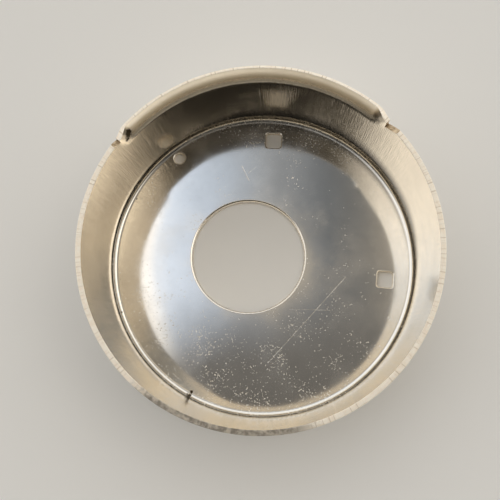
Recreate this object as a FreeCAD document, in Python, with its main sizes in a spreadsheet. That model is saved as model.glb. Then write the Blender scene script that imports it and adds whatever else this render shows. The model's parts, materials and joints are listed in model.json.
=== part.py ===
"""Deep drawn sheet-metal cup with an eccentric bore, pierced base and flared lip.

Millimetres. The origin is on the axis of the drawn wall, at the underside of the base.
+Z points up out of the mouth, and +Y towards the middle of the lip. Azimuth is counted
from +X towards +Y.
"""
import FreeCAD, Part
import math
import os

import Sketcher

NODE = "drawn_cup"

# Driving dimensions: alias, value, meaning. Angles are in degrees.
SIZES = (
    ("cup_diameter", 102.0, "outside of the drawn wall"),
    ("cup_height", 38.0, "underside of the base to the cut rim"),
    ("gauge", 1.5, "thickness of the sheet, the same in base, wall and lip"),
    ("punch_nose", 1.6, "inside radius of the corner between base and wall"),
    ("bore_diameter", 36.8, "large round opening in the base"),
    ("bore_x", -4.5, "centre of the large opening"),
    ("bore_y", 2.4, "centre of the large opening"),
    ("bore_roll", 0.8, "edge rolled in by the punch round the large opening"),
    ("pilot_diameter", 3.6, "small round hole near the wall"),
    ("pilot_azimuth", 124.4, "direction of the small round hole"),
    ("pilot_land", 0.15, "flat sheet left between the small hole's edge and the corner"),
    ("square_side", 5.0, "across the flats of each square hole"),
    ("square_corner", 0.9, "corner radius of each square hole"),
    ("square_turn", 2.9, "turn of each square hole from the radial direction"),
    ("rear_square_azimuth", 81.1, "direction of the square hole under the lip"),
    ("rear_square_inset", 7.6, "inner face of the wall to its centre"),
    ("side_square_azimuth", -11.7, "direction of the square hole at the side"),
    ("side_square_inset", 9.0, "inner face of the wall to its centre"),
    ("small_break", 0.35, "edge broken by the punch round each small hole"),
    ("lip_drop", 7.7, "cut rim down to where the lip starts to leave the wall"),
    ("bend_radius", 9.1, "bend of the lip, on the inner face"),
    ("lip_angle", 44.0, "lean of the lip's edge from the vertical"),
    ("lip_half_width", 40.0, "wall with the full lip, each side of +Y"),
    ("right_run_out", 9.9, "wall in which the lip turns back at its +X end"),
    ("left_run_out", 9.3, "wall in which the lip turns back at its -X end"),
    ("right_notch_depth", 2.9, "relief cut in the rim at the lip's +X end"),
    ("right_notch_width", 4.2, "relief cut in the rim at the lip's +X end"),
    ("left_notch_depth", 1.2, "relief cut in the rim at the lip's -X end"),
    ("left_notch_width", 2.4, "relief cut in the rim at the lip's -X end"),
)

# Each run-out at these parts of its width keeps this share of the lip's lean: the sheet
# straightens up first, stays out and then turns back sharply.
RUN_OUT_SHARES = ((0, 1), (0.15, 0.78), (0.35, 0.55), (0.6, 0.45), (0.8, 0.28), (1, 0))
TOUCH = 1e-4  # two positions closer than this are the same

INNER = "(Sizes.cup_diameter / 2 - Sizes.gauge)"
OUTER = "(Sizes.cup_diameter / 2)"
BEND_HEIGHT = "(Sizes.cup_height - Sizes.lip_drop)"
RIGHT_END = "(90 - Sizes.lip_half_width - Sizes.right_run_out)"
LEFT_END = "(90 + Sizes.lip_half_width + Sizes.left_run_out)"


def make_sizes(doc):
    """The spreadsheet that drives the part."""
    sheet = doc.addObject("Spreadsheet::Sheet", "Sizes")
    for row, (alias, value, meaning) in enumerate(SIZES, start=1):
        sheet.set(f"A{row}", alias)
        sheet.set(f"B{row}", str(value))
        sheet.set(f"C{row}", meaning)
        sheet.setAlias(f"B{row}", alias)
    doc.recompute()
    return sheet


def now(item, expression):
    """The plain number that an expression gives with the present sizes."""
    result = item.evalExpression(expression)
    return float(getattr(result, "Value", result))


# Sketches


def new_sketch(body, name, plane):
    """A sketch on one of the body's own origin planes."""
    sketch = body.newObject("Sketcher::SketchObject", name)
    planes = body.Origin.OriginFeatures
    sketch.AttachmentSupport = [(next(p for p in planes if p.Role == plane), "")]
    sketch.MapMode = "FlatFace"
    return sketch


def upright_sketch(body, name, azimuth):
    """A sketch that contains the cup's axis, with its own X axis towards azimuth."""
    sketch = new_sketch(body, name, "XZ_Plane")
    swing = FreeCAD.Rotation(FreeCAD.Vector(0, 1, 0), 1)
    sketch.AttachmentOffset = FreeCAD.Placement(FreeCAD.Vector(), swing)
    sketch.setExpression("AttachmentOffset.Rotation.Angle", f"({azimuth}) * 1 deg")
    return sketch


def base_sketch(body, name, across, along, turn):
    """A sketch on the underside of the base, moved to a hole's centre and turned."""
    sketch = new_sketch(body, name, "XY_Plane")
    spin = FreeCAD.Rotation(FreeCAD.Vector(0, 0, 1), 1)
    sketch.AttachmentOffset = FreeCAD.Placement(FreeCAD.Vector(), spin)
    sketch.setExpression("AttachmentOffset.Base.x", f"({across}) * 1 mm")
    sketch.setExpression("AttachmentOffset.Base.y", f"({along}) * 1 mm")
    sketch.setExpression("AttachmentOffset.Rotation.Angle", f"({turn}) * 1 deg")
    return sketch


def hold(sketch, expression, *constraint):
    """Add a constraint with a size and bind the size to an expression."""
    value = now(sketch, expression)
    index = sketch.addConstraint(Sketcher.Constraint(*constraint, value))
    sketch.setExpression(f"Constraints[{index}]", expression)


def hold_point(sketch, geometry, vertex, across, up):
    """Hold one vertex at two expressions measured from the sketch's origin."""
    hold(sketch, across, "DistanceX", -1, 1, geometry, vertex)
    hold(sketch, up, "DistanceY", -1, 1, geometry, vertex)


def polygon(sketch, corners):
    """A closed outline through corners given as pairs of expressions."""
    points = [FreeCAD.Vector(now(sketch, x), now(sketch, y), 0) for x, y in corners]
    following = points[1:] + points[:1]
    for start, end in zip(points, following):
        sketch.addGeometry(Part.LineSegment(start, end))
    for i, (x, y) in enumerate(corners):
        after = (i + 1) % len(corners)
        sketch.addConstraint(Sketcher.Constraint("Coincident", i, 2, after, 1))
        hold_point(sketch, i, 1, x, y)


def round_outline(sketch, diameter):
    """A circle on the sketch's origin."""
    circle = Part.Circle(FreeCAD.Vector(), FreeCAD.Vector(0, 0, 1), now(sketch, diameter) / 2)
    index = sketch.addGeometry(circle)
    sketch.addConstraint(Sketcher.Constraint("Coincident", index, 3, -1, 1))
    hold(sketch, diameter, "Diameter", index)


def square_outline(sketch, side):
    """A square centred on the sketch's origin."""
    half = f"{side} / 2"
    minus = f"-{side} / 2"
    polygon(sketch, ((minus, minus), (half, minus), (half, half), (minus, half)))


def rim_outline(sketch):
    """The section of the straight wall from the bend up to the cut rim."""
    foot, top = BEND_HEIGHT, "Sizes.cup_height"
    polygon(sketch, ((INNER, foot), (OUTER, foot), (OUTER, top), (INNER, top)))


def bend_arc(sketch, centre, radius, lean):
    """One face of the bend: it leaves the wall upright and ends at the given lean."""
    middle = FreeCAD.Vector(now(sketch, centre), now(sketch, BEND_HEIGHT), 0)
    circle = Part.Circle(middle, FreeCAD.Vector(0, 0, 1), now(sketch, radius))
    turn = math.radians(now(sketch, lean))
    arc = sketch.addGeometry(Part.ArcOfCircle(circle, math.pi - turn, math.pi))
    hold_point(sketch, arc, 3, centre, BEND_HEIGHT)
    hold(sketch, radius, "Radius", arc)
    sketch.addConstraint(Sketcher.Constraint("Horizontal", arc, 2, arc, 3))
    hold(sketch, f"{BEND_HEIGHT} + {radius} * sin({lean})", "DistanceY", -1, 1, arc, 1)
    return arc


def lip_section(body, name, azimuth, share):
    """The lip's section where it keeps this share of its lean.

    The sheet's length grows from that of the full lip to that of the rim.
    """
    sketch = upright_sketch(body, name, azimuth)
    if share == 0:
        rim_outline(sketch)
        return sketch
    lean = f"(Sizes.lip_angle * {share} * 1 deg)"
    straight = "Sizes.lip_drop / (Sizes.lip_angle * pi / 180)"
    radius = f"(({straight}) * {1 / share - share} + Sizes.bend_radius * {share})"
    centre = f"({INNER} + {radius})"
    inside = bend_arc(sketch, centre, radius, lean)
    outside = bend_arc(sketch, centre, f"({radius} - Sizes.gauge)", lean)
    for vertex in (1, 2):
        ends = [sketch.getPoint(arc, vertex) for arc in (inside, outside)]
        line = sketch.addGeometry(Part.LineSegment(*ends))
        sketch.addConstraint(Sketcher.Constraint("Coincident", line, 1, inside, vertex))
        sketch.addConstraint(Sketcher.Constraint("Coincident", line, 2, outside, vertex))
    return sketch


# Features


def add_feature(body, kind, name, sketch):
    feature = body.newObject(f"PartDesign::{kind}", name)
    feature.Profile = sketch
    return feature


def revolve(body, name, sketch, angle):
    """Add material by turning an upright sketch round the cup's axis, to larger azimuth."""
    feature = add_feature(body, "Revolution", name, sketch)
    feature.ReferenceAxis = (sketch, ["V_Axis"])
    feature.setExpression("Angle", f"({angle}) * 1 deg")


def cut(doc, body, name, sketch, length):
    """Cut a sketch away along its own normal, and see that it met the cup."""
    before = body.Shape.Volume
    feature = add_feature(body, "Pocket", name, sketch)
    feature.Type = "Length"
    feature.Reversed = True
    feature.setExpression("Length", length)
    doc.recompute()
    if body.Shape.Volume > before - TOUCH:
        raise RuntimeError(f"{name} cut nothing")


def dress_edges(doc, body, kind, name, size, chosen):
    """Fillet or chamfer the edges of the body's last feature for which chosen(edge) is true."""
    base = body.Tip
    edges = base.Shape.Edges
    names = [f"Edge{i}" for i, edge in enumerate(edges, start=1) if chosen(edge)]
    if not names:
        raise RuntimeError(f"{name} found no edge")
    dressed = body.newObject(f"PartDesign::{kind}", name)
    dressed.Base = (base, names)
    dressed.setExpression({"Fillet": "Radius", "Chamfer": "Size"}[kind], size)
    doc.recompute()


def round_edges(doc, body, name, radius, chosen):
    dress_edges(doc, body, "Fillet", name, radius, chosen)


def is_circle(edge, radius, x, y, z):
    """Whether an edge is a circle of this radius round this point."""
    curve = edge.Curve
    if curve.TypeId != "Part::GeomCircle" or abs(curve.Radius - radius) > TOUCH:
        return False
    return curve.Center.distanceToPoint(FreeCAD.Vector(x, y, z)) < TOUCH


def is_level(edge, height):
    """Whether an edge lies flat at this height."""
    box = edge.BoundBox
    return abs(box.ZMin - height) < TOUCH and abs(box.ZMax - height) < TOUCH


def add_wall(doc, body):
    """Base and wall up to the bend of the lip, with the drawn corner."""
    sketch = upright_sketch(body, "WallSection", "0")
    corners = (
        ("0", "0"),
        (OUTER, "0"),
        (OUTER, BEND_HEIGHT),
        (INNER, BEND_HEIGHT),
        (INNER, "Sizes.gauge"),
        ("0", "Sizes.gauge"),
    )
    polygon(sketch, corners)
    revolve(body, "Wall", sketch, "360")
    doc.recompute()
    inner, outer, gauge = (now(body, text) for text in (INNER, OUTER, "Sizes.gauge"))
    nose = "Sizes.punch_nose"
    round_edges(doc, body, "CornerInside", nose, lambda e: is_circle(e, inner, 0, 0, gauge))
    skin = f"{nose} + Sizes.gauge"
    round_edges(doc, body, "CornerOutside", skin, lambda e: is_circle(e, outer, 0, 0, 0))


def add_rim(body):
    """The straight rim, round the part of the wall that has no lip."""
    sketch = upright_sketch(body, "RimSection", LEFT_END)
    rim_outline(sketch)
    revolve(body, "Rim", sketch, f"360 + {RIGHT_END} - {LEFT_END}")


def add_lip(body):
    """The full lip, and at each end the run-out that turns back into the wall."""
    section = lip_section(body, "LipSection", "90 - Sizes.lip_half_width", 1)
    revolve(body, "Lip", section, "2 * Sizes.lip_half_width")
    for side, sign in (("Right", "-"), ("Left", "+")):
        sections = []
        for step, (run, share) in enumerate(RUN_OUT_SHARES):
            width = f"Sizes.{side.lower()}_run_out"
            azimuth = f"90 {sign} (Sizes.lip_half_width + {width} * {run})"
            sections.append(lip_section(body, f"{side}Section{step}", azimuth, share))
        loft = add_feature(body, "AdditiveLoft", f"{side}RunOut", sections[0])
        loft.Sections = sections[1:]


def add_notch(doc, body, side, azimuth, direction):
    """The relief cut beside one end of the lip: deepest there, and sloping up to the rim."""
    sketch = upright_sketch(body, f"{side}NotchSketch", f"{azimuth} + 90")
    top = "Sizes.cup_height"
    away = f"{direction}Sizes.{side.lower()}_notch_width"
    deep = f"{top} - Sizes.{side.lower()}_notch_depth"
    over = f"{top} + Sizes.gauge"
    polygon(sketch, (("0", deep), (away, top), (away, over), ("0", over)))
    cut(doc, body, f"{side}Notch", sketch, f"{OUTER} + Sizes.gauge")


def add_round_hole(doc, body, name, across, along, diameter, mouth, size):
    """A round hole pierced from inside: its mouth is a fillet or a chamfer of this size."""
    sketch = base_sketch(body, f"{name}Sketch", across, along, "0")
    round_outline(sketch, diameter)
    cut(doc, body, name, sketch, "2 * Sizes.gauge")
    rim = [now(body, text) for text in (f"{diameter} / 2", across, along, "Sizes.gauge")]
    dress_edges(doc, body, mouth, f"{name}Mouth", size, lambda edge: is_circle(edge, *rim))


def add_square_hole(doc, body, name, across, along, azimuth):
    """A square hole with round corners, pierced the same way."""
    sketch = base_sketch(body, f"{name}Sketch", across, along, f"{azimuth} + Sizes.square_turn")
    square_outline(sketch, "Sizes.square_side")
    cut(doc, body, name, sketch, "2 * Sizes.gauge")
    x, y, side, gauge = (
        now(body, text) for text in (across, along, "Sizes.square_side", "Sizes.gauge")
    )

    def is_here(edge):
        middle = edge.CenterOfMass
        return math.hypot(middle.x - x, middle.y - y) < side

    def is_corner(edge):
        box = edge.BoundBox
        return is_here(edge) and abs(box.ZLength - gauge) < TOUCH

    def is_mouth(edge):
        return is_here(edge) and is_level(edge, gauge)

    round_edges(doc, body, f"{name}Corners", "Sizes.square_corner", is_corner)
    dress_edges(doc, body, "Chamfer", f"{name}Mouth", "Sizes.small_break", is_mouth)


def near_wall(azimuth, inset):
    """The centre of a small hole, placed from the wall's inner face."""
    radius = f"({INNER} - ({inset}))"
    return [f"{radius} * {part}({azimuth} * 1 deg)" for part in ("cos", "sin")]


def add_holes(doc, body):
    """The holes of the base: rolled in at the large one, and broken at the small ones."""
    bore = ("Sizes.bore_x", "Sizes.bore_y", "Sizes.bore_diameter")
    add_round_hole(doc, body, "Bore", *bore, "Fillet", "Sizes.bore_roll")
    edge = "Sizes.pilot_diameter / 2 + Sizes.small_break"
    middle = near_wall("Sizes.pilot_azimuth", f"Sizes.punch_nose + Sizes.pilot_land + {edge}")
    pilot = (*middle, "Sizes.pilot_diameter")
    add_round_hole(doc, body, "Pilot", *pilot, "Chamfer", "Sizes.small_break")
    for side in ("Rear", "Side"):
        azimuth = f"Sizes.{side.lower()}_square_azimuth"
        middle = near_wall(azimuth, f"Sizes.{side.lower()}_square_inset")
        add_square_hole(doc, body, f"{side}Square", *middle, azimuth)


def check(doc, body):
    """Stop when any object failed or the cup is not one valid solid."""
    failed = [item.Name for item in doc.Objects if {"Invalid", "Error"} & set(item.State)]
    if failed:
        raise RuntimeError(f"failed: {failed}")
    shape = body.Shape
    if shape.isNull() or not shape.isValid() or len(shape.Solids) != 1:
        raise RuntimeError("the cup is not one valid solid")


def main():
    doc = FreeCAD.newDocument("DrawnCup")
    make_sizes(doc)
    body = doc.addObject("PartDesign::Body", "DrawnCup")
    body.Label = NODE
    add_wall(doc, body)
    add_rim(body)
    add_lip(body)
    doc.recompute()
    add_notch(doc, body, "Right", RIGHT_END, "-")
    add_notch(doc, body, "Left", LEFT_END, "")
    add_holes(doc, body)
    check(doc, body)
    os.makedirs("parts", exist_ok=True)
    body.Shape.exportStep(f"parts/{body.Label}.step")
    print(NODE, "volume", round(body.Shape.Volume, 1), "mm3,", len(body.Shape.Faces), "faces")


main()
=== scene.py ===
import json
import math

import bmesh
import bpy
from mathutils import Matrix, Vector


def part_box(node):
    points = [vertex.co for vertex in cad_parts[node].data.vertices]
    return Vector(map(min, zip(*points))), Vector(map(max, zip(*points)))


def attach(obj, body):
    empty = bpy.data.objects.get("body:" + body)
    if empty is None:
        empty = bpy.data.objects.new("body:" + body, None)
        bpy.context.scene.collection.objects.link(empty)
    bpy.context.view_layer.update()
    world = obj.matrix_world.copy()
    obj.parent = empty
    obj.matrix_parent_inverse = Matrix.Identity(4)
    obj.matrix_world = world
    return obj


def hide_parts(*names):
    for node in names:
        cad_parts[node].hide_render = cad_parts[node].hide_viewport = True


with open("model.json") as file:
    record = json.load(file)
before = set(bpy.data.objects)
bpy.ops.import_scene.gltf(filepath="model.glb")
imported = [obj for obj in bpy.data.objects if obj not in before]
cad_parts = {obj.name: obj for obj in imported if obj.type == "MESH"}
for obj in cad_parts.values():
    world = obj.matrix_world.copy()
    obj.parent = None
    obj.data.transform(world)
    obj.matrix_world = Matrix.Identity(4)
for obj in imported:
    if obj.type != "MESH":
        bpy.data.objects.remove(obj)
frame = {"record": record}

MM = 0.001  # one millimetre in the scene's metres
TURN = 2 * math.pi

# The part's own figures that the record and the node's box don't give
GAUGE = 1.5 * MM
PUNCH_NOSE = 1.6 * MM
BORE_ROLL = 0.8 * MM
SQUARE_SIDE = 5.0 * MM
SQUARE_CORNER = 0.9 * MM
SQUARE_TURN = math.radians(2.9)
SMALL_ROLL = 0.4 * MM
HEIGHT = 38.0 * MM
LIP_DROP = 7.7 * MM
BEND_RADIUS = 9.1 * MM
LIP_LEAN = math.radians(44)
LIP_MIDDLE = 90.0  # degrees, the azimuth of the rear
LIP_HALF = 40.0  # degrees each side of the middle
RUN_OUTS = {"right": 9.9, "left": 9.3}  # degrees of wall in which the lip turns back
NOTCHES = {"right": (2.9 * MM, 4.2 * MM), "left": (1.2 * MM, 2.4 * MM)}  # depth, width
RIM_BREAK = 0.22 * MM  # the cut rim's slightly softened edges
# How the lip's lean fades along a run-out: (part of the run-out, share of the lean)
SHARES = ((0, 1), (0.36, 0.97), (0.48, 0.84), (0.6, 0.55), (0.72, 0.3), (0.85, 0.13), (1, 0))

# Hairlines on the base, in millimetres: from, to, width
SCRATCHES = (
    ((27.1, -6.5), (-0.2, -32.7), 0.13),
    ((8.1, -15.9), (21.0, -17.1), 0.10),
    ((-4.7, 33.3), (-2.7, 28.2), 0.16),
    ((-2.6, 30.8), (-0.1, 32.6), 0.13),
)

# Dark nicks, and painted shade at the lip's left end, in millimetres: centre, size
NICKS_AND_SHADE = (
    ((-35.7, 35.6, 35.2), 2.0),  # where the lip's left end is torn, with painted shade in its pocket
    # also at the torn end: painted shade in its pocket
    ((-36.5, 34.4, 33.8), 1.2),
    ((-47.2, 3.4, 1.9), 0.5),
    ((-46.9, -13.4, 2.0), 0.55),
    ((-41.0, 24.3, 1.8), 0.6),
    ((-8.8, 47.2, 1.7), 0.5),
    ((-48.9, -9.0, 6.0), 0.35),
    ((-25.3, -40.4, 1.7), 0.9),  # a gouge across the drawn corner at the front left
    ((-25.9, -41.2, 2.3), 1.2),
    ((-26.5, -41.8, 3.4), 1.0),
)

FOLD = (35.9, 34.9, 34.6)  # millimetres, at the lip's right end: where the painted shade is darkest

# Material numbers: inner face, cut edge, torn edge, outer face
SKIN, CUT, TORN, OUTSIDE = 0, 1, 2, 3

AROUND = 720  # columns of faces round the wall
BASE_RINGS = (10, 17, 24, 31, 38, 43, 47.85)  # millimetres, the circles of edges on the base
CORNER_ROWS = 8  # rows of faces round the drawn corner
WALL_ROWS = 8  # from the corner up to the bend
BEND_ROWS = 14  # from the bend up to the cut rim
ROLL_ROWS = 8  # round the rolled edge of a hole
TINY = 0.001 * MM  # points closer than this are one
WELD = 0.01 * MM  # points that the cuts leave closer than this are joined
FLOOR_SIZE = 30  # metres

# Colours of the finishes
BASE_STEEL = (0.83, 0.81, 0.775, 1)
WALL_STEEL = (0.95, 0.86, 0.71, 1)
# painted shade: the dark reflection in the drawn corner
CORNER_SHADE = (0.055, 0.042, 0.026, 1)
# painted shade: a dark reflection on the lip's bend and shadow in its fold
LIP_SHADE = (0.10, 0.08, 0.055, 1)
# dark brown for nicks, and painted shade in the pocket at the lip's left end
NICK_AND_SHADE_BROWN = (0.06, 0.046, 0.028, 1)
SCUFF_WHITE = (0.95, 0.91, 0.83, 1)
SHEARED_CREAM = (0.96, 0.86, 0.73, 1)
SHEARED_PALE = (1.0, 0.94, 0.84, 1)
SHEAR_MARK = (0.56, 0.46, 0.34, 1)
# grey of the burr, and of a painted dark reflection along the front left rim
BURR_AND_REFLECTION_GREY = (0.22, 0.195, 0.16, 1)
TORN_BROWN = (0.36, 0.27, 0.17, 1)
TORN_TAN = (0.78, 0.64, 0.46, 1)
OUTSIDE_DULL = (0.76, 0.70, 0.60, 1)
OUTSIDE_BRIGHT = (0.82, 0.76, 0.66, 1)
OUTSIDE_STREAK = (0.50, 0.455, 0.38, 1)
OUTSIDE_SCRAPE = (0.86, 0.84, 0.80, 1)
FLOOR_PALE = (0.86, 0.86, 0.855, 1)

# The studio's light overhead, from left to right: (metres right for each metre up, colour)
OVERHEAD = (
    (-1.20, (1.15, 1.13, 1.09)),
    (-0.50, (1.25, 1.20, 1.13)),
    (-0.28, (1.05, 1.00, 0.93)),
    (-0.225, (1.45, 1.38, 1.28)),
    (-0.17, (0.87, 0.97, 1.12)),
    (-0.08, (0.54, 0.61, 0.71)),
    (0.00, (0.36, 0.375, 0.39)),
    (0.09, (0.155, 0.165, 0.175)),
    (0.15, (0.22, 0.21, 0.19)),
    (0.19, (0.42, 0.37, 0.30)),
    (0.225, (0.62, 0.54, 0.42)),
    (0.255, (0.86, 0.75, 0.59)),
    (0.285, (0.42, 0.36, 0.28)),
    (0.31, (0.30, 0.255, 0.20)),
    (0.55, (2.0, 1.82, 1.55)),
    (1.20, (1.6, 1.5, 1.35)),
)
# Its dark front, from front to rear: (metres to the rear for each metre up, colour)
FRONT = (
    (-3.40, (0.95, 0.90, 0.82)),
    (-2.80, (0.62, 0.57, 0.49)),
    (-2.45, (0.06, 0.055, 0.045)),
    (-0.90, (0.010, 0.009, 0.008)),
    (-0.38, (0.006, 0.005, 0.004)),
    (-0.30, (0.03, 0.026, 0.02)),
    (-0.22, (0.09, 0.08, 0.065)),
    (-0.05, (0.17, 0.16, 0.145)),
)
# Its walls near the floor, from the left round to the right: (0 to 1, colour)
WALLS = (
    (0.0, (1.4, 1.37, 1.3)),
    (0.22, (0.72, 0.69, 0.63)),
    (0.4, (1.0, 0.96, 0.89)),
    (0.6, (1.35, 1.31, 1.22)),
    (1.0, (1.5, 1.45, 1.36)),
)
REAR_LIGHT = (1.2, 1.18, 1.13, 1)
WARM_PATCH = (0.86, 0.72, 0.52, 1)
DIM_ROOM = (0.98, 0.95, 0.89, 1)
DIM_FRONT = (0.05, 0.045, 0.035, 1)

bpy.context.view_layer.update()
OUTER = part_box("drawn_cup")[1].x  # half of the node's width
INNER = OUTER - GAUGE
BEND_HEIGHT = HEIGHT - LIP_DROP
MOUNTS = {mount["name"]: mount for mount in frame["record"]["mounts"]}


# Camera


def add_camera():
    data = bpy.data.cameras.new("camera")
    data.lens = 46.57
    data.sensor_width = 36
    data.clip_start = 0.01
    data.clip_end = 20
    camera = bpy.data.objects.new("camera", data)
    camera.location = (0.00406, -0.02939, 0.2130)
    camera.rotation_euler = [math.radians(a) for a in (8.932, 2.650, -3.4)]
    bpy.context.scene.collection.objects.link(camera)
    bpy.context.scene.camera = camera


# Modelling by hand


def choose(piece):
    """Make this the only selected piece."""
    bpy.ops.object.select_all(action="DESELECT")
    piece.select_set(True)
    bpy.context.view_layer.objects.active = piece


def start_editing(piece):
    choose(piece)
    bpy.ops.object.mode_set(mode="EDIT")
    bpy.ops.mesh.select_all(action="DESELECT")


def stop_editing():
    bpy.ops.object.mode_set(mode="OBJECT")


def settle(piece):
    """Move a new primitive's place into its mesh."""
    choose(piece)
    bpy.ops.object.transform_apply(location=True, rotation=True, scale=True)


def pick(piece, kind, wanted):
    """Select the vertices, edges or faces of the edited mesh for which wanted is true."""
    bpy.ops.mesh.select_all(action="DESELECT")
    mesh = bmesh.from_edit_mesh(piece.data)
    mesh.select_mode = {kind}
    for item in getattr(mesh, {"VERT": "verts", "EDGE": "edges", "FACE": "faces"}[kind]):
        item.select_set(wanted(item))
    mesh.select_flush_mode()
    bmesh.update_edit_mesh(piece.data)


def apply_modifier(piece, kind, **settings):
    modifier = piece.modifiers.new(kind.lower(), kind)
    for key, value in settings.items():
        setattr(modifier, key, value)
    choose(piece)
    bpy.ops.object.modifier_apply(modifier=modifier.name)


def cut_away(piece, tool, edge):
    """Cut with a tool: the holes' rolled mouths keep the skin's finish, the rest gets this edge."""
    for material in piece.data.materials:
        tool.data.materials.append(material)
    for face in tool.data.polygons:
        rolled = 0.02 < abs(face.normal.z) < 0.98 and face.center.z < GAUGE
        face.material_index = SKIN if rolled else edge
    apply_modifier(piece, "BOOLEAN", operation="DIFFERENCE", solver="EXACT", object=tool)
    bpy.data.objects.remove(tool)


def sheet_profile():
    """(radius, height) along the inner face: base, drawn corner, wall and rim."""
    flat_end = INNER - PUNCH_NOSE
    points = [(across * MM, GAUGE) for across in BASE_RINGS]
    for row in range(CORNER_ROWS + 1):
        turn = math.pi / 2 * row / CORNER_ROWS
        across = flat_end + PUNCH_NOSE * math.sin(turn)
        up = GAUGE + PUNCH_NOSE * (1 - math.cos(turn))
        points.append((across, up))
    foot = GAUGE + PUNCH_NOSE
    for row in range(1, WALL_ROWS + 1):
        points.append((INNER, foot + (BEND_HEIGHT - foot) * row / WALL_ROWS))
    for row in range(1, BEND_ROWS + 1):
        points.append((INNER, BEND_HEIGHT + LIP_DROP * row / BEND_ROWS))
    return points


def spin_sheet():
    """The inner face from the first ring of the base to the rim, spun round the cup's axis."""
    points = sheet_profile()
    bpy.ops.mesh.primitive_plane_add(size=MM, location=(points[0][0], 0, points[0][1]))
    cup = bpy.context.object
    cup.name = "cup"
    settle(cup)
    bpy.ops.object.mode_set(mode="EDIT")
    bpy.ops.mesh.select_all(action="SELECT")
    bpy.ops.mesh.merge(type="CENTER")
    for (across, up), (next_across, next_up) in zip(points, points[1:]):
        step = (next_across - across, 0, next_up - up)
        bpy.ops.mesh.extrude_region_move(TRANSFORM_OT_translate={"value": step})
    bpy.ops.mesh.select_all(action="SELECT")
    bpy.ops.mesh.spin(steps=AROUND, angle=TURN, center=(0, 0, 0), axis=(0, 0, 1))
    bpy.ops.mesh.select_all(action="SELECT")
    bpy.ops.mesh.remove_doubles(threshold=TINY)
    stop_editing()
    return cup


def add_base(cup):
    """The middle of the base, filled in where the bore will be, with the sheet facing inwards."""
    start_editing(cup)
    middle = (BASE_RINGS[0] + 1) * MM

    def round_middle(edge):
        return edge.is_boundary and max(v.co.xy.length for v in edge.verts) < middle

    pick(cup, "EDGE", round_middle)
    bpy.ops.mesh.edge_face_add()
    bpy.ops.mesh.select_all(action="SELECT")
    bpy.ops.mesh.normals_make_consistent(inside=False)
    mesh = bmesh.from_edit_mesh(cup.data)
    lowest = min(mesh.faces, key=lambda face: face.calc_center_median().z)
    if lowest.normal.z < 0:
        bpy.ops.mesh.flip_normals()
    stop_editing()


def lip_share(degrees):
    """How much of the lip's lean the sheet has at this azimuth, from 0 to 1."""
    away = (degrees - LIP_MIDDLE + 180) % 360 - 180
    side = "left" if away > 0 else "right"
    run = (abs(away) - LIP_HALF) / RUN_OUTS[side]
    if run <= 0:
        return 1.0
    for (start, high), (end, low) in zip(SHARES, SHARES[1:]):
        if run <= end:
            part = (run - start) / (end - start)
            return high + (low - high) * part
    return 0.0


def bend_lip(cup):
    """Lean the sheet outwards above the bend, with a run-out at each end."""
    for vertex in cup.data.vertices:
        rise = (vertex.co.z - BEND_HEIGHT) / LIP_DROP
        if rise <= 0:
            continue
        azimuth = math.atan2(vertex.co.y, vertex.co.x)
        share = lip_share(math.degrees(azimuth))
        if share == 0:
            continue
        # as the lean fades the bend opens out, until the sheet is as long as the plain wall
        radius = LIP_DROP / LIP_LEAN * (1 / share - share) + BEND_RADIUS * share
        turn = LIP_LEAN * share * rise
        across = INNER + radius * (1 - math.cos(turn))
        up = BEND_HEIGHT + radius * math.sin(turn)
        vertex.co = (across * math.cos(azimuth), across * math.sin(azimuth), up)


def notch_tool(side):
    """A wedge that cuts the relief beside one end of the lip."""
    sign = 1 if side == "left" else -1
    depth, width = NOTCHES[side]
    azimuth = math.radians(LIP_MIDDLE + sign * (LIP_HALF + RUN_OUTS[side]))
    bpy.ops.mesh.primitive_cube_add(size=1)
    tool = bpy.context.object
    # the cube's corners become a wedge that runs along the sheet, away from the lip
    top, reach = HEIGHT + GAUGE, 3 * GAUGE
    corners = {
        (-1, -1): (0, HEIGHT - depth),
        (1, -1): (width, HEIGHT),
        (1, 1): (width, top),
        (-1, 1): (0, top),
    }
    radial = Vector((math.cos(azimuth), math.sin(azimuth), 0))
    along = Vector((-math.sin(azimuth), math.cos(azimuth), 0)) * sign
    for vertex in tool.data.vertices:
        run, up = corners[round(2 * vertex.co.x), round(2 * vertex.co.z)]
        across = OUTER + reach * (1 if vertex.co.y > 0 else -1)
        vertex.co = radial * across + along * run + Vector((0, 0, up))
    start_editing(tool)
    bpy.ops.mesh.select_all(action="SELECT")
    bpy.ops.mesh.normals_make_consistent(inside=False)
    stop_editing()
    return tool


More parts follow.
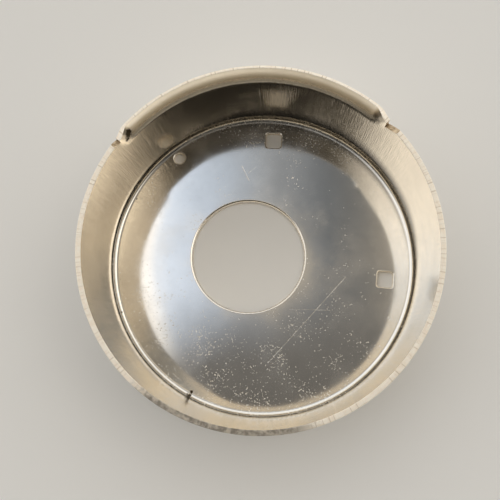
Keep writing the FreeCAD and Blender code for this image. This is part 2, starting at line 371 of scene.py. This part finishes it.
def hole_tool(name):
    """A plug with the form of one hole, flared where the punch rolled the sheet in."""
    mount = MOUNTS[name]
    x, y, _ = mount["pos_m"]
    roll = BORE_ROLL if name == "bore" else SMALL_ROLL
    depth = 4 * GAUGE
    if "square" in name:
        half = SQUARE_SIDE / 2
        bpy.ops.mesh.primitive_cube_add(size=1, scale=(SQUARE_SIDE, SQUARE_SIDE, depth))
        tool = bpy.context.object
        spin = math.atan2(y, x) + SQUARE_TURN
    else:
        half = mount["dims"]["r_mm"] * MM
        bpy.ops.mesh.primitive_cylinder_add(vertices=AROUND // 4, radius=half, depth=depth)
        tool = bpy.context.object
        spin = 0
    settle(tool)
    start_editing(tool)
    if "square" in name:
        pick(tool, "EDGE", lambda edge: abs(edge.verts[0].co.z - edge.verts[1].co.z) > MM)
        bpy.ops.mesh.bevel(offset=SQUARE_CORNER, segments=8, affect="EDGES")
    # the plug's top comes down to where the roll begins, and flares out from there
    pick(tool, "FACE", lambda face: face.normal.z > 0.9)
    bpy.ops.transform.translate(value=(0, 0, GAUGE - roll - depth / 2))
    out, up = 0, 0
    for row in range(1, ROLL_ROWS + 1):
        turn = math.pi / 2 * row / ROLL_ROWS
        next_out, next_up = roll * (1 - math.cos(turn)), roll * math.sin(turn)
        bpy.ops.mesh.extrude_region_move(TRANSFORM_OT_translate={"value": (0, 0, next_up - up)})
        grow = (half + next_out) / (half + out)
        bpy.ops.transform.resize(value=(grow, grow, 1))
        out, up = next_out, next_up
    bpy.ops.mesh.extrude_region_move(TRANSFORM_OT_translate={"value": (0, 0, MM)})
    stop_editing()
    tool.rotation_euler = (0, 0, spin)
    tool.location = (x, y, 0)
    settle(tool)
    return tool


def relay_base(cup):
    """Lay the base's flat top and underside anew round the cut holes, with no slivers."""
    base_edge = BASE_RINGS[-1] * MM + WELD

    def in_base(item, level):
        return all(abs(v.co.z - level) < TINY and v.co.xy.length < base_edge for v in item.verts)

    start_editing(cup)
    bpy.ops.mesh.select_all(action="SELECT")
    bpy.ops.mesh.remove_doubles(threshold=WELD)
    for level, finish in ((GAUGE, SKIN), (0, OUTSIDE)):
        pick(cup, "FACE", lambda face: in_base(face, level))
        bpy.ops.mesh.delete(type="FACE")
        pick(cup, "EDGE", lambda edge: edge.is_boundary and in_base(edge, level))
        bpy.ops.mesh.fill(use_beauty=True)
        mesh = bmesh.from_edit_mesh(cup.data)
        for face in mesh.faces:
            if in_base(face, level):
                face.material_index = finish
    bpy.ops.mesh.select_all(action="SELECT")
    bpy.ops.mesh.normals_make_consistent(inside=False)
    stop_editing()


def model_cup():
    cup = spin_sheet()
    for material in (drawn_steel(), sheared_edge(), torn_edge(), outside_steel()):
        cup.data.materials.append(material)
    add_base(cup)
    bend_lip(cup)
    apply_modifier(cup, "SOLIDIFY", thickness=GAUGE, offset=-1, use_even_offset=True,
                   use_quality_normals=True, material_offset=OUTSIDE, material_offset_rim=CUT)
    apply_modifier(cup, "BEVEL", width=RIM_BREAK, segments=3, limit_method="ANGLE",
                   angle_limit=math.radians(50), loop_slide=False, material=CUT)
    for side in NOTCHES:
        cut_away(cup, notch_tool(side), TORN)
    for name in ("bore", "pilot_hole", "rear_square", "side_square"):
        cut_away(cup, hole_tool(name), CUT)
    relay_base(cup)
    return cup


def finish_shading(cup):
    choose(cup)
    bpy.ops.object.shade_smooth_by_angle(angle=math.radians(35))
    inside = INNER - PUNCH_NOSE - 0.3 * MM  # short of the drawn corner

    def hard(edge):
        """Where two finishes meet, and round each hole's rolled edge."""
        faces = edge.link_faces
        if len({face.material_index for face in faces}) > 1:
            return True
        flat = {max(abs(v.co.z - GAUGE) for v in face.verts) < TINY for face in faces}
        return len(flat) > 1 and max(v.co.xy.length for v in edge.verts) < inside

    start_editing(cup)
    pick(cup, "EDGE", hard)
    bpy.ops.mesh.mark_sharp()
    stop_editing()
    apply_modifier(cup, "WEIGHTED_NORMAL", keep_sharp=True)


# Materials


class Nodes:
    """Short names for building one node tree."""

    def __init__(self, tree):
        self.tree = tree

    def add(self, kind, inputs=(), **settings):
        """A node with these inputs, each a value or another node's output."""
        node = self.tree.nodes.new(kind)
        for key, value in settings.items():
            setattr(node, key, value)
        for key, value in dict(inputs).items():
            self.put(node.inputs[key], value)
        return node

    def put(self, socket, value):
        if isinstance(value, bpy.types.NodeSocket):
            self.tree.links.new(value, socket)
        else:
            socket.default_value = value

    def math(self, operation, *values, clamp=False):
        node = self.add("ShaderNodeMath", operation=operation, use_clamp=clamp)
        for socket, value in zip(node.inputs, values):
            self.put(socket, value)
        return node.outputs[0]

    def plus(self, first, second, clamp=False):
        return self.math("ADD", first, second, clamp=clamp)

    def minus(self, first, second):
        return self.math("SUBTRACT", first, second)

    def times(self, first, second):
        return self.math("MULTIPLY", first, second)

    def over(self, first, second, clamp=False):
        return self.math("DIVIDE", first, second, clamp=clamp)

    def most(self, first, second):
        return self.math("MAXIMUM", first, second)

    def vector(self, operation, *values):
        """Vector arithmetic: a number for a length, a distance or a dot product, else a vector."""
        node = self.add("ShaderNodeVectorMath", enumerate(values), operation=operation)
        number = operation in ("LENGTH", "DISTANCE", "DOT_PRODUCT")
        return node.outputs["Value" if number else "Vector"]

    def step(self, value, low, high, start=0.0, end=1.0):
        """Rises smoothly from start to end as value goes from low to high."""
        node = self.add("ShaderNodeMapRange", interpolation_type="SMOOTHSTEP")
        for socket, given in zip(node.inputs, (value, low, high, start, end)):
            self.put(socket, given)
        return node.outputs[0]

    def blend(self, share, first, second, kind="MIX"):
        node = self.add("ShaderNodeMix", data_type="RGBA", blend_type=kind)
        for key, value in ((0, share), (6, first), (7, second)):
            self.put(node.inputs[key], value)
        return node.outputs[2]

    def ramp(self, value, stops):
        """A colour ramp through (position, colour) stops."""
        node = self.add("ShaderNodeValToRGB", {"Fac": value})
        points = node.color_ramp.elements
        while len(points) < len(stops):
            points.new(0.5)
        for point, (position, colour) in zip(points, stops):
            point.position = position
            point.color = (*colour, 1)
        return node.outputs["Color"]

    def noise(self, place, scale, detail=2.0, roughness=0.5):
        values = {"Vector": place, "Scale": scale, "Detail": detail, "Roughness": roughness}
        return self.add("ShaderNodeTexNoise", values).outputs["Fac"]

    def squeezed(self, place, **settings):
        """The same place with its axes scaled or turned, so that a noise runs out in lines."""
        return self.add("ShaderNodeMapping", {"Vector": place, **settings}).outputs[0]

    def place(self):
        """Where on the piece, in metres."""
        return self.add("ShaderNodeTexCoord").outputs["Object"]

    def parts(self, vector):
        """A vector's x, y and z."""
        return self.add("ShaderNodeSeparateXYZ", {0: vector}).outputs

    def bump(self, shader, height, distance=MM):
        """Raise the surface by height times distance."""
        values = {"Height": height, "Distance": distance, "Strength": 1.0}
        self.put(shader.inputs["Normal"], self.add("ShaderNodeBump", values).outputs[0])


def new_material(name):
    material = bpy.data.materials.new(name)
    material.use_nodes = True
    nodes = Nodes(material.node_tree)
    return material, nodes, material.node_tree.nodes["Principled BSDF"]


def stroke(nodes, place, start, end, width):
    """1 on a straight scratch from start to end (millimetres across the cup), 0 away from it."""
    begin = Vector((*start, 0)) * MM
    run = Vector((*end, 0)) * MM - begin
    flat = nodes.vector("MULTIPLY", place, (1, 1, 0))
    offset = nodes.vector("SUBTRACT", flat, begin)
    along = nodes.vector("DOT_PRODUCT", offset, run / run.length_squared)
    along = nodes.plus(along, 0, clamp=True)
    values = {0: run, "Scale": along}
    nearest = nodes.add("ShaderNodeVectorMath", values, operation="SCALE").outputs[0]
    away = nodes.vector("DISTANCE", offset, nearest)
    return nodes.step(away, width * MM / 2, width * MM, 1, 0)


def blot(nodes, place, centre, size, ragged):
    """1 within a ragged spot of this size round a point (millimetres), 0 outside it."""
    away = nodes.vector("DISTANCE", place, Vector(centre) * MM)
    away = nodes.plus(nodes.over(away, size * MM), nodes.times(ragged, 1.6))
    return nodes.step(away, 1.3, 1.6, 1, 0)


def base_scuffs(nodes, place, x, y, on_base):
    """Fine swarf marks, thick at the front and in a patch at the rear right, and hairlines."""
    curl = nodes.math("ABSOLUTE", nodes.minus(nodes.noise(place, 900, 2), 0.5))
    curl = nodes.step(curl, 0.004, 0.024, 1, 0)
    short = nodes.noise(place, 1300, 1)
    spread = nodes.noise(place, 120, 3, 0.6)
    front = nodes.step(nodes.plus(y, nodes.times(x, 0.35)), -46 * MM, 4 * MM, 0.14, 0)
    rear = nodes.step(nodes.plus(y, nodes.times(x, 0.3)), 32 * MM, 47 * MM, 0, 0.13)
    thick = nodes.plus(front, nodes.times(nodes.minus(spread, 0.52), 0.8))
    thick = nodes.plus(thick, rear)
    peck = nodes.times(curl, nodes.step(nodes.plus(short, thick), 0.69, 0.74))
    peck = nodes.times(peck, on_base)
    scratch = 0.0
    for line in SCRATCHES:
        scratch = nodes.most(scratch, stroke(nodes, place, *line))
    scratch = nodes.times(scratch, on_base)
    broken = nodes.step(nodes.noise(place, 450, 2), 0.40, 0.62, 0.25, 0.6)
    return nodes.most(peck, nodes.times(scratch, broken))


def corner_shade(nodes, flat, z):
    """Painted shade where the wall meets the base, highest and heaviest at the rear right."""
    facing = nodes.vector("DOT_PRODUCT", flat, (0.64 / INNER, 0.77 / INNER, 0))
    up = nodes.over(nodes.minus(z, GAUGE), MM)
    top = nodes.plus(2.6, nodes.times(nodes.step(facing, 0.2, 0.9), 10))
    fade = nodes.step(nodes.over(up, top), 0.3, 1, 1, 0)
    band = nodes.times(nodes.step(up, 0.25, 0.9), fade)
    return nodes.times(band, nodes.step(facing, -0.75, 0.1, 0.42, 0.92))


def lip_shade(nodes, place, radius):
    """Painted shade that fades out above the lip's bend, darkest in the fold at its right end."""
    # the bend's painted shade stands for a dark reflection there
    leaning = nodes.step(radius, INNER + 0.02 * MM, INNER + 0.3 * MM)
    fade = nodes.step(radius, INNER + 0.3 * MM, INNER + 2.4 * MM, 0.7, 0)
    fold = nodes.vector("DISTANCE", place, Vector(FOLD) * MM)
    fold = nodes.times(nodes.step(fold, 0.6 * MM, 3 * MM, 0.9, 0), leaning)
    return nodes.most(nodes.times(leaning, fade), fold)


def drawn_steel():
    """Bright drawn sheet: a near-mirror base, scuffed and smudged, and a satin wall."""
    material, nodes, shader = new_material("drawn_steel")
    place = nodes.place()
    x, y, z = nodes.parts(place)
    flat = nodes.add("ShaderNodeCombineXYZ", {0: x, 1: y}).outputs[0]
    radius = nodes.vector("LENGTH", flat)
    on_wall = nodes.step(z, GAUGE + 0.7 * PUNCH_NOSE, GAUGE + 2 * PUNCH_NOSE)
    on_base = nodes.minus(1, on_wall)

    # smudges on the base: broad clouds that dull it here and there
    cloud = nodes.noise(place, 55, 5, 0.6)
    smudge = nodes.step(cloud, 0.42, 0.68)
    scuff = base_scuffs(nodes, place, x, y, on_base)
    # draw lines up the wall
    stretched = nodes.squeezed(place, Scale=(1, 1, 0.04))
    line = nodes.noise(stretched, 1300, 3, 0.6)
    hair = nodes.noise(stretched, 4200, 1, 0.5)
    ragged = nodes.noise(place, 1100, 3, 0.7)
    nick_and_shade = 0.0
    for centre, size in NICKS_AND_SHADE:
        nick_and_shade = nodes.most(nick_and_shade, blot(nodes, place, centre, size, ragged))

    colour = nodes.blend(on_wall, BASE_STEEL, WALL_STEEL)
    shade = nodes.step(nodes.noise(place, 90, 4, 0.65), 0.3, 0.7, 0.94, 1.03)
    shade = nodes.add("ShaderNodeCombineColor", {0: shade, 1: shade, 2: shade}).outputs[0]
    colour = nodes.blend(1.0, colour, shade, "MULTIPLY")
    # painted shade in the drawn corner, standing for its dark reflection
    colour = nodes.blend(corner_shade(nodes, flat, z), colour, CORNER_SHADE)
    # painted shade on the lip's bend and in the fold at its right end
    colour = nodes.blend(lip_shade(nodes, place, radius), colour, LIP_SHADE)
    # nicks, and painted shade in the pocket at the lip's left end
    colour = nodes.blend(nick_and_shade, colour, NICK_AND_SHADE_BROWN)
    colour = nodes.blend(scuff, colour, SCUFF_WHITE)
    nodes.put(shader.inputs["Base Color"], colour)
    nodes.put(shader.inputs["Metallic"], 1)

    base_rough = nodes.plus(0.085, nodes.times(smudge, 0.07))
    # the rear edge of the base is rubbed dull
    rubbed = nodes.plus(nodes.over(y, 10 * MM), cloud)
    base_rough = nodes.plus(base_rough, nodes.step(rubbed, 3.8, 5.4, 0, 0.16))
    lip = nodes.step(radius, INNER + 0.1 * MM, INNER + 1.2 * MM, 0, 0.22)
    wall_rough = nodes.plus(nodes.step(line, 0.3, 0.7, 0.13, 0.17), lip)
    rough = nodes.plus(nodes.times(on_base, base_rough), nodes.times(on_wall, wall_rough))
    rough = nodes.plus(rough, nodes.times(nodes.most(scuff, nick_and_shade), 0.4), clamp=True)
    nodes.put(shader.inputs["Roughness"], rough)

    # the relief's heights are in millimetres
    drawn = nodes.plus(nodes.times(line, 0.03), nodes.times(hair, 0.045))
    relief = nodes.times(drawn, on_wall)
    relief = nodes.plus(relief, nodes.times(nodes.noise(place, 60, 0), 0.06))
    # the base bows down a little towards its left edge
    left_edge = nodes.times(on_base, nodes.step(x, -34 * MM, -12 * MM, 1, 0))
    bow = nodes.math("POWER", nodes.most(nodes.minus(nodes.over(radius, MM), 35), 0), 2)
    relief = nodes.minus(relief, nodes.times(nodes.times(bow, 0.0017), left_edge))
    relief = nodes.minus(relief, nodes.times(scuff, 0.01))
    relief = nodes.minus(relief, nodes.times(nick_and_shade, 0.1))
    nodes.bump(shader, relief)
    return material


def sheared_edge():
    """Cut edge: cream and matt, shear marks, a dull burred stretch, its dark partly painted
    reflection.
    """
    material, nodes, shader = new_material("sheared_edge")
    place = nodes.place()
    x, y, _ = nodes.parts(place)
    azimuth = nodes.math("DEGREES", nodes.math("ARCTAN2", y, x))
    tear = nodes.noise(place, 700, 4, 0.7)
    # the shear's marks across the edge
    round_rim = nodes.add("ShaderNodeCombineXYZ", {0: azimuth}).outputs[0]
    tick = nodes.step(nodes.noise(round_rim, 1.4, 2), 0.54, 0.64, 0, 0.55)
    # the burred stretch at the front left, ragged at both ends; its grey is partly painted
    # reflection
    azimuth = nodes.plus(azimuth, nodes.times(nodes.minus(tear, 0.5), 14))
    burr_and_reflection = nodes.times(nodes.step(azimuth, -138, -128), nodes.step(azimuth, -84, -72, 1, 0))
    torn = nodes.step(tear, 0.35, 0.62)
    dull = nodes.times(burr_and_reflection, nodes.plus(0.55, nodes.times(torn, 0.45)))
    colour = nodes.blend(torn, SHEARED_CREAM, SHEARED_PALE)
    colour = nodes.blend(tick, colour, SHEAR_MARK)
    # the burred stretch: a real burr, and a painted dark reflection
    colour = nodes.blend(dull, colour, BURR_AND_REFLECTION_GREY)
    nodes.put(shader.inputs["Base Color"], colour)
    nodes.put(shader.inputs["Metallic"], nodes.minus(0.35, nodes.times(dull, 0.2)))
    nodes.put(shader.inputs["Roughness"], nodes.step(tear, 0.3, 0.7, 0.42, 0.62))
    nodes.bump(shader, tear, 0.12 * MM)
    return material


def torn_edge():
    """The ragged, browned edge that the relief cuts leave."""
    material, nodes, shader = new_material("torn_edge")
    tear = nodes.noise(nodes.place(), 900, 3, 0.7)
    colour = nodes.blend(nodes.step(tear, 0.35, 0.65), TORN_BROWN, TORN_TAN)
    nodes.put(shader.inputs["Base Color"], colour)
    nodes.put(shader.inputs["Metallic"], 0.6)
    nodes.put(shader.inputs["Roughness"], nodes.step(tear, 0.3, 0.7, 0.6, 0.42))
    nodes.bump(shader, tear, 0.3 * MM)
    return material


def outside_steel():
    """The outside: satin, with draw lines down the wall and bands round it; a rubbed underside."""
    material, nodes, shader = new_material("outside_steel")
    place = nodes.place()
    z = nodes.parts(place)[2]
    wall = nodes.step(z, 0.4 * MM, 3 * MM)
    upright = nodes.squeezed(place, Scale=(1, 1, 0.03))
    line = nodes.noise(upright, 1100, 3, 0.65)
    hair = nodes.noise(upright, 3600, 1)
    round_wall = nodes.squeezed(place, Scale=(0.03, 0.03, 1))
    band = nodes.noise(round_wall, 420, 3, 0.6)
    slid = nodes.squeezed(place, Rotation=(0, 0, 0.5), Scale=(0.05, 1, 1))
    scrape = nodes.times(nodes.step(nodes.noise(slid, 900, 2), 0.56, 0.64),
                         nodes.step(nodes.noise(place, 80, 3), 0.42, 0.6))
    scrape = nodes.times(scrape, nodes.minus(1, wall))
    cloud = nodes.step(nodes.noise(place, 60, 4, 0.6), 0.35, 0.65)
    streak = nodes.times(nodes.step(line, 0.52, 0.72), wall)

    colour = nodes.blend(cloud, OUTSIDE_DULL, OUTSIDE_BRIGHT)
    colour = nodes.blend(nodes.times(streak, 0.22), colour, OUTSIDE_STREAK)
    colour = nodes.blend(scrape, colour, OUTSIDE_SCRAPE)
    nodes.put(shader.inputs["Base Color"], colour)
    nodes.put(shader.inputs["Metallic"], 1)

    rough = nodes.plus(nodes.step(band, 0.3, 0.7, 0.14, 0.22), nodes.times(streak, 0.08))
    rough = nodes.plus(rough, nodes.times(cloud, 0.06))
    nodes.put(shader.inputs["Roughness"], nodes.plus(rough, nodes.times(scrape, 0.15)))

    drawn = nodes.plus(nodes.times(line, 0.025), nodes.times(hair, 0.03))
    drawn = nodes.times(nodes.plus(drawn, nodes.times(band, 0.03)), wall)
    nodes.bump(shader, nodes.minus(drawn, nodes.times(scrape, 0.02)))
    return material


# Floor and light


def pale_floor():
    material, nodes, shader = new_material("pale_floor")
    nodes.put(shader.inputs["Base Color"], FLOOR_PALE)
    nodes.put(shader.inputs["Roughness"], 0.8)
    return material


def add_floor():
    bpy.ops.mesh.primitive_plane_add(size=FLOOR_SIZE, location=(0, 0, 0))
    floor = bpy.context.object
    floor.name = "floor"
    floor.data.materials.append(pale_floor())


def add_world():
    """A pale studio: bright at the sides and rear, dim overhead, dark in front, one warm patch."""
    world = bpy.data.worlds.new("studio")
    bpy.context.scene.world = world
    world.use_nodes = True
    nodes = Nodes(world.node_tree)
    direction = nodes.add("ShaderNodeTexCoord").outputs["Generated"]
    x, y, z = nodes.parts(direction)
    up = nodes.most(z, 0.02)
    right, rear = nodes.over(x, up), nodes.over(y, up)

    def spread(value, low, high):
        return nodes.over(nodes.minus(value, low), high - low, clamp=True)

    def lights(value, low, high, stops):
        shares = [((at - low) / (high - low), colour) for at, colour in stops]
        return nodes.ramp(spread(value, low, high), shares)

    def length(across, along):
        return nodes.math("SQRT", nodes.plus(nodes.times(across, across),
                                             nodes.times(along, along)))

    behind = lights(right, -1.2, 1.2, OVERHEAD)
    ahead = lights(rear, -3.6, 0.1, FRONT)
    # the dark front reaches furthest in the middle and has softer sides
    aside = nodes.step(nodes.math("ABSOLUTE", right), 0.1, 0.45)
    reach = nodes.times(aside, nodes.step(right, -0.05, 0.05, 0.25, 0.34))
    soft = nodes.plus(0.07, nodes.times(reach, 0.35))
    border = nodes.over(nodes.plus(rear, nodes.minus(reach, 0.05)), soft)
    overhead = nodes.blend(nodes.step(border, -1, 1), ahead, behind)
    overhead = nodes.blend(nodes.step(rear, 0.32, 0.6), overhead, REAR_LIGHT)
    # a warm patch straight above the bore, which the front of the wall mirrors
    off = length(nodes.plus(right, 0.03), nodes.minus(rear, 0.14))
    overhead = nodes.blend(nodes.step(off, 0.05, 0.09, 1, 0), overhead, WARM_PATCH)
    # lower down, a dim room and then pale walls near the floor
    out = length(right, rear)
    dim = nodes.times(nodes.step(out, 0.85, 1.15), nodes.step(out, 2.5, 3.1, 1, 0))
    walls = nodes.ramp(spread(nodes.over(right, out), -1, 1), WALLS)
    room = nodes.blend(nodes.step(out, 2.5, 3.1), overhead, walls)
    colour = nodes.blend(dim, room, DIM_ROOM)
    dim_front = nodes.times(nodes.step(nodes.plus(rear, reach), -0.35, 0.1, 1, 0), dim)
    colour = nodes.blend(dim_front, colour, DIM_FRONT)
    nodes.put(world.node_tree.nodes["Background"].inputs["Color"], colour)


add_camera()
cup = model_cup()
finish_shading(cup)
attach(cup, "root")
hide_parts("drawn_cup")

add_floor()
add_world()

bpy.context.scene.view_settings.view_transform = "Standard"
bpy.context.view_layer.update()
